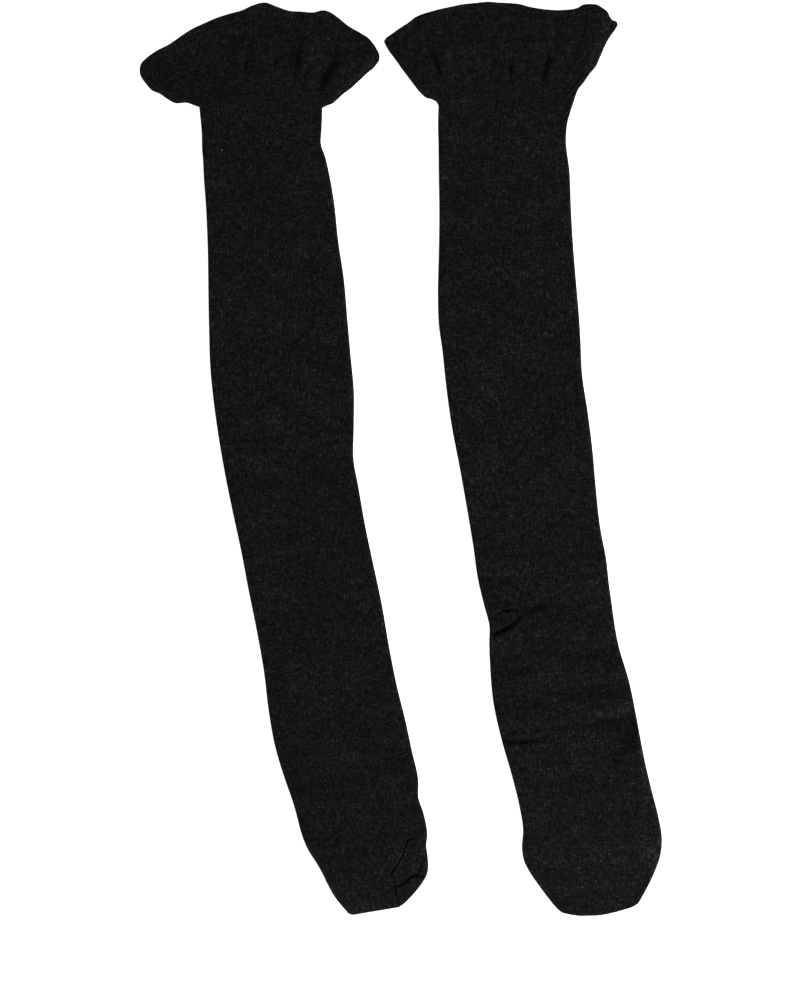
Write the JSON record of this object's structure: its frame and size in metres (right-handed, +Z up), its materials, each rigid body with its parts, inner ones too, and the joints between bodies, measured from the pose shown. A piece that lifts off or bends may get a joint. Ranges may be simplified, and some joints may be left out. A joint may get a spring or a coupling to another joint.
{
  "type": "pair of knee-high socks",
  "caption": "Pair of dark charcoal marl knitted knee-high socks laid flat, each a long leg tube with a closed toe and a flared, gathered ruffle cuff at the knee.",
  "frame": {"origin": "middle of the bottom of the pair's bounding box, on the surface that the socks lie on", "axes": "+Z up from the surface, +Y from the toes to the ruffles, +X from the left sock to the right sock, both as seen from above"},
  "size_m": [0.3451, 0.602, 0.0063],
  "materials": {
    "leg_knit": "matt dark charcoal marl, fine plain knit with a short fuzz",
    "ruffle_knit": "the same yarn in the gathered ruffle, a little darker, with upright wale lines"
  },
  "bodies": {
    "root": {"left_leg": "leg_knit", "left_ruffle": "ruffle_knit", "right_leg": "leg_knit", "right_ruffle": "ruffle_knit"}
  },
  "joints": []
}
